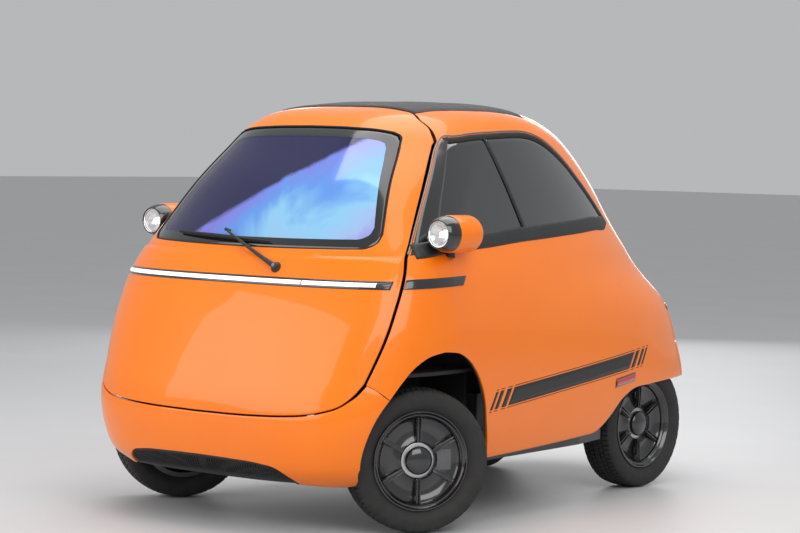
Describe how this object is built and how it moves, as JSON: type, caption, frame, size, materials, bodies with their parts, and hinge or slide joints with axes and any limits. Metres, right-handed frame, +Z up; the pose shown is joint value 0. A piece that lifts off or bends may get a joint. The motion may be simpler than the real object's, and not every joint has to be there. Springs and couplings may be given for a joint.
{
  "type": "microcar",
  "caption": "Two-seat electric bubble microcar with a front door that carries the windscreen, a rear hatch, steered front wheels and free-rolling wheels.",
  "frame": {"origin": "on the ground under the middle of the car's overall box", "axes": "+Z up, the front faces -Y, the car's left is +X"},
  "size_m": [1.5264, 2.5188, 1.5059],
  "materials": {
    "chassis_paint": "satin",
    "battery_case": "satin",
    "motor_case": "cast",
    "housing_black": "matt",
    "body_orange": "gloss",
    "trim_black": "satin",
    "side_glass": "tinted",
    "roof_fabric": "woven",
    "seat_fabric": "woven",
    "pod_gloss": "gloss",
    "lamp_glass": "clear",
    "screen_glass": "coated",
    "light_white": "gloss",
    "wiper_rubber": "matt",
    "bar_metal": "satin",
    "light_red": "gloss",
    "knuckle_iron": "cast",
    "wheel_grip": "grained",
    "tyre": "matt",
    "rim_black": "gloss"
  },
  "bodies": {
    "root": {"floor_pan": "chassis_paint", "battery_pack": "battery_case", "drive_motor": "motor_case", "rear_tub": "chassis_paint", "left_wheel_housing": "housing_black", "right_wheel_housing": "housing_black", "front_suspension": "chassis_paint", "rear_axle": "chassis_paint", "front_bumper": "body_orange", "bumper_grille": "trim_black", "left_side_panel": "body_orange", "right_side_panel": "body_orange", "left_side_windows": "side_glass", "right_side_windows": "side_glass", "roof_header": "body_orange", "fabric_roof": "roof_fabric", "rear_panel": "body_orange", "seat_cushion": "seat_fabric", "seat_backrest": "seat_fabric", "steering_column": "trim_black", "pedals": "trim_black", "left_lamp_pod": "pod_gloss", "right_lamp_pod": "pod_gloss", "left_lamp_lens": "lamp_glass", "right_lamp_lens": "lamp_glass"},
    "front_door": {"door_panel": "body_orange", "windscreen": "screen_glass", "front_light_bar": "light_white", "wiper": "wiper_rubber", "door_bar": "bar_metal"},
    "rear_hatch": {"hatch_panel": "body_orange", "rear_window": "side_glass", "tail_light_bar": "light_red", "plate_holder": "trim_black"},
    "left_steering": {"left_knuckle": "knuckle_iron"},
    "right_steering": {"right_knuckle": "knuckle_iron"},
    "steering_wheel": {"steering_wheel": "wheel_grip"},
    "front_left_wheel": {"front_left_tyre": "tyre", "front_left_rim": "rim_black"},
    "front_right_wheel": {"front_right_tyre": "tyre", "front_right_rim": "rim_black"},
    "rear_left_wheel": {"rear_left_tyre": "tyre", "rear_left_rim": "rim_black"},
    "rear_right_wheel": {"rear_right_tyre": "tyre", "rear_right_rim": "rim_black"}
  },
  "joints": [
    {"name": "front_door_hinge", "type": "hinge", "parent": "root", "child": "front_door", "pos_m": [0.672, -1.1, 0.8], "axis": [0, 0, 1], "range_deg": [0, 85]},
    {"name": "rear_hatch_hinge", "type": "hinge", "parent": "root", "child": "rear_hatch", "pos_m": [0, 0.25, 1.482], "axis": [1, 0, 0], "range_deg": [0, 75]},
    {"name": "left_steer", "type": "hinge", "parent": "root", "child": "left_steering", "pos_m": [0.56713, -0.756, 0.252], "axis": [0, 0, 1], "range_deg": [-5, 63]},
    {"name": "right_steer", "type": "hinge", "parent": "root", "child": "right_steering", "pos_m": [-0.56713, -0.756, 0.252], "axis": [0, 0, 1], "range_deg": [-5, 63]},
    {"name": "steering_wheel_turn", "type": "hinge", "parent": "root", "child": "steering_wheel", "pos_m": [0.25, -0.52, 0.77], "axis": [0, 0.8192, 0.5736], "range_deg": [-70, 882]},
    {"name": "front_left_spin", "type": "hinge", "parent": "left_steering", "child": "front_left_wheel", "pos_m": [0.589, -0.76812, 0.252], "axis": [0.8746, -0.4848, 0], "continuous": true},
    {"name": "front_right_spin", "type": "hinge", "parent": "right_steering", "child": "front_right_wheel", "pos_m": [-0.589, -0.74388, 0.252], "axis": [0.8746, -0.4848, 0], "continuous": true},
    {"name": "rear_left_spin", "type": "hinge", "parent": "root", "child": "rear_left_wheel", "pos_m": [0.395, 0.798, 0.252], "axis": [1, 0, 0], "continuous": true},
    {"name": "rear_right_spin", "type": "hinge", "parent": "root", "child": "rear_right_wheel", "pos_m": [-0.395, 0.798, 0.252], "axis": [1, 0, 0], "continuous": true}
  ],
  "couplings": [
    {"joint": "right_steer", "follows": "left_steer", "ratio": 1},
    {"joint": "steering_wheel_turn", "follows": "left_steer", "ratio": 14}
  ]
}
